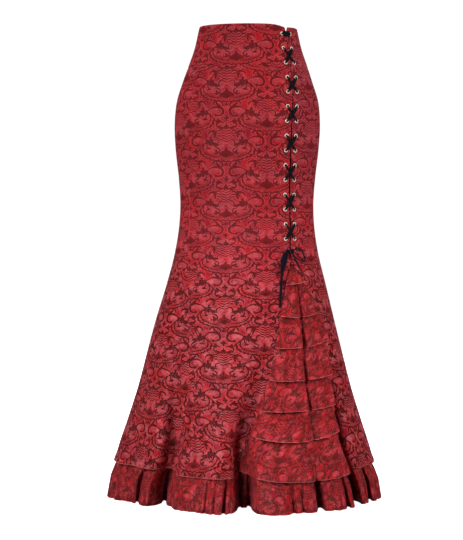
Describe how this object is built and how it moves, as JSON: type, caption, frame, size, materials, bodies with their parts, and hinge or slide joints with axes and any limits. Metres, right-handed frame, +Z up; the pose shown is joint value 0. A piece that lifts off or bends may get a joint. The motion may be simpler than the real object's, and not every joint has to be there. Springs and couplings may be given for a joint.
{
  "type": "mermaid fishtail skirt",
  "caption": "Long damask mermaid skirt, close to the knee and flared below, with a laced front slit, a tiered ruffle godet and a gathered hem frill; hollow, open at waist and hem.",
  "frame": {"origin": "middle of the wearer's waist, 45 mm below the top edge, inside the hollow skirt", "axes": "+Z up, -Y towards the front of the skirt, +X towards the viewer's right, on the laced side"},
  "size_m": [0.6434, 0.5456, 1.1003],
  "materials": {
    "brocade": "red damask weave with a dark scroll pattern and a slight satin sheen",
    "ruffle_brocade": "the same red damask, gathered, with narrow overlocked edges",
    "black_satin": "black satin ribbon",
    "pale_brass": "polished pale gold eyelet"
  },
  "bodies": {
    "root": {"waistband_front": "brocade", "waistband_right": "brocade", "waistband_back": "brocade", "front_side_panel": "brocade", "front_centre_panel": "brocade", "front_right_panel": "brocade", "back_left_panel": "brocade", "back_right_panel": "brocade", "godet": "brocade", "lacing_underlay": "brocade", "ruffle_tier_1": "ruffle_brocade", "ruffle_tier_2": "ruffle_brocade", "ruffle_tier_3": "ruffle_brocade", "ruffle_tier_4": "ruffle_brocade", "ruffle_tier_5": "ruffle_brocade", "ruffle_tier_6": "ruffle_brocade", "ruffle_tier_7": "ruffle_brocade", "hem_frill_front": "ruffle_brocade", "hem_frill_back": "ruffle_brocade", "lace": "black_satin", "bow_knot": "black_satin", "bow_loop_left": "black_satin", "bow_loop_right": "black_satin", "bow_end_left": "black_satin", "bow_end_right": "black_satin", "eyelet_left_01": "pale_brass", "eyelet_left_02": "pale_brass", "eyelet_left_03": "pale_brass", "eyelet_left_04": "pale_brass", "eyelet_left_05": "pale_brass", "eyelet_left_06": "pale_brass", "eyelet_left_07": "pale_brass", "eyelet_left_08": "pale_brass", "eyelet_left_09": "pale_brass", "eyelet_left_10": "pale_brass", "eyelet_left_11": "pale_brass", "eyelet_left_12": "pale_brass", "eyelet_left_13": "pale_brass", "eyelet_left_14": "pale_brass", "eyelet_left_15": "pale_brass", "eyelet_right_01": "pale_brass", "eyelet_right_02": "pale_brass", "eyelet_right_03": "pale_brass", "eyelet_right_04": "pale_brass", "eyelet_right_05": "pale_brass", "eyelet_right_06": "pale_brass", "eyelet_right_07": "pale_brass", "eyelet_right_08": "pale_brass", "eyelet_right_09": "pale_brass", "eyelet_right_10": "pale_brass", "eyelet_right_11": "pale_brass", "eyelet_right_12": "pale_brass", "eyelet_right_13": "pale_brass", "eyelet_right_14": "pale_brass", "eyelet_right_15": "pale_brass"}
  },
  "joints": []
}
